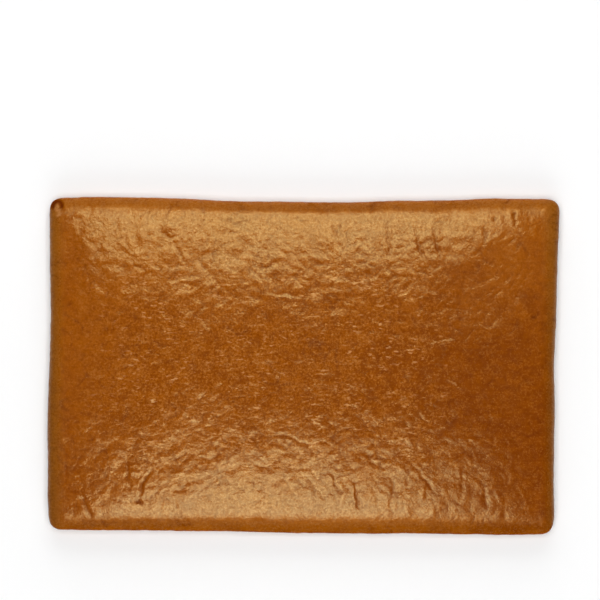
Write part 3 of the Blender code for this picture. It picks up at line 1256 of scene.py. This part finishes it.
@dataclass(frozen=True)
class Floor:
    """A plain pale floor under the sheet."""

    size: float = 8.0
    finish: PaleFloor = PaleFloor()

    def build(self) -> bpy.types.Object:
        """Lays a square, level with the underside.

        Returns:
            The floor.
        """
        points = self.size / 2 * np.array([[-1, -1, 0], [1, -1, 0], [1, 1, 0], [-1, 1, 0]])
        mesh = mesh_from("floor", points, [np.array([[0, 1, 2, 3]])])
        mesh.materials.append(self.finish.material())
        floor = placed("floor", mesh)
        return floor


@dataclass(frozen=True)
class Softbox:
    """A soft rectangular lamp that faces the sheet, tilted from straight above about X.

    Lengths are in metres, the tilt is in degrees and the power in watts. The shift is along X,
    and the fades are the shares of the panel's size, low and high, along each of its axes.
    """

    name: str
    tilt: float
    distance: float
    size: Pair
    power: float
    shift: float = 0.0
    diffuse: bool = True
    gloss: bool = True
    colour: Colour = WHITE
    fade: tuple[Pair, Pair] = ((0.0, 0.0), (0.0, 0.0))
    edge_tint: Colour = (1.0, 0.62, 0.3)

    def fade_edges(self, lamp: bpy.types.Light) -> None:
        """Dims and warms the panel towards its edges.

        Args:
            lamp: The panel.
        """
        lamp.use_nodes = True
        tree = NodeTree(lamp.node_tree)
        place = tree.add("NewGeometry", output="Parametric")
        strength = 1.0
        for axis, (low, high) in zip("XY", self.fade):
            along = tree.add("SeparateXYZ", None, {0: place}, axis)
            strength = strength * along.ramp(0.0, low) * (1 - along).ramp(0.0, high)
        tint = tree.mix(strength, opaque(self.edge_tint), opaque(WHITE))
        tree.feed("Emission", {"Strength": strength, "Color": tint})

    def build(self) -> bpy.types.Object:
        """Hangs the lamp, grown by what its edges lose.

        Returns:
            The lamp. Its middle is as bright as that of a panel that doesn't fade.
        """
        lamp = bpy.data.lights.new(self.name, "AREA")
        lamp.shape = "RECTANGLE"
        grown = [1 / (1 - (low + high) / 2) for low, high in self.fade]
        lamp.size, lamp.size_y = (size * more for size, more in zip(self.size, grown))
        lamp.energy = self.power * math.prod(grown)
        lamp.color = self.colour
        if grown != [1, 1]:
            self.fade_edges(lamp)
        hung = placed(self.name, lamp)
        turn = math.radians(self.tilt)
        across, up = self.distance * math.sin(turn), self.distance * math.cos(turn)
        hung.location = (self.shift, across, up)
        hung.rotation_euler = (-turn, 0, 0)
        hung.visible_diffuse = self.diffuse
        hung.visible_glossy = self.gloss
        return hung


LAMPS = (
    Softbox(
        "far_softbox", 28.9, 0.75, (0.52, 0.415), 4.24, 0.0205, diffuse=False,
        colour=(0.94, 0.93, 0.8), fade=((0.1, 0.3), (0.2, 0.4)),
    ),
    Softbox(
        "near_softbox", -30.0, 0.75, (0.415, 0.39), 3.36, -0.03, diffuse=False,
        colour=(0.98, 1.0, 0.97), fade=((0.3, 0.38), (0.45, 0.2)),
    ),
    Softbox("overhead_fill", 0.0, 2.0, (2.0, 2.0), 37.0, gloss=False),
    Softbox("far_fill", 72.0, 1.5, (1.6, 1.0), 15.5, gloss=False),
    Softbox("near_fill", -72.0, 1.5, (1.6, 1.0), 12.5, gloss=False),
)


@dataclass(frozen=True)
class Room:
    """The studio round the sheet: bright walls, most at the near and far ends, a dark ceiling."""

    ceiling: float = 0.012
    walls: float = 0.14
    wall_heights: Pair = (0.1, 0.8)
    side_walls: float = 0.8
    end_walls: Pair = (0.2, 0.8)

    def build(self) -> None:
        """Sets the world's light: bright at the horizon, dark overhead."""
        world = bpy.data.worlds.new("studio")
        world.use_nodes = True
        bpy.context.scene.world = world
        tree = NodeTree(world.node_tree)
        direction = tree.add("TexCoord", output="Generated")
        height = tree.add("SeparateXYZ", None, {0: direction}, "Z")
        across = tree.add("SeparateXYZ", None, {0: direction}, "Y")
        ends = abs(across).ramp(*self.end_walls)
        bright = self.side_walls + (1 - self.side_walls) * ends
        wall = (1 - height.ramp(*self.wall_heights)) * bright
        strength = self.ceiling + (self.walls - self.ceiling) * wall
        tree.feed("Background", {"Strength": strength, "Color": opaque(WHITE)})


@dataclass(frozen=True)
class PhotoCamera:
    """Looks straight down, framed as in the photo at this level above the floor."""

    middle: Pair = (-2.06 * MM, 39.0 * MM)
    frame_width: float = 355.0 * MM
    distance: float = 1.5
    sensor: float = 36.0
    level: float = 5 * MM

    def build(self) -> bpy.types.Object:
        """Places the camera.

        Returns:
            The camera, which is now the scene's.
        """
        data = bpy.data.cameras.new("camera")
        data.sensor_width = self.sensor
        data.lens = self.sensor * self.distance / self.frame_width
        camera = placed("camera", data)
        camera.location = (*self.middle, self.distance + self.level)
        bpy.context.scene.camera = camera
        return camera


def main() -> None:
    """Builds the sheet, the floor, the light and the camera."""
    logging.basicConfig(level=logging.INFO, format="%(name)s: %(message)s")
    bpy.context.scene.view_settings.view_transform = "Standard"
    low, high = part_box(NODE)
    form = SlabForm(length=high.x - low.x, width=high.y - low.y)
    crust = Crust(Grain(form.length / 2, form.width / 2))
    sheet = GingerbreadSheet(form, crust, (low, high)).build()
    log.info("%s: %d faces", sheet.name, len(sheet.data.polygons))
    log.info("%s laid", Floor().build().name)
    Room().build()
    for lamp in LAMPS:
        log.info("%s hung", lamp.build().name)
    log.info("%s placed", PhotoCamera().build().name)


if __name__ == "__main__":
    main()
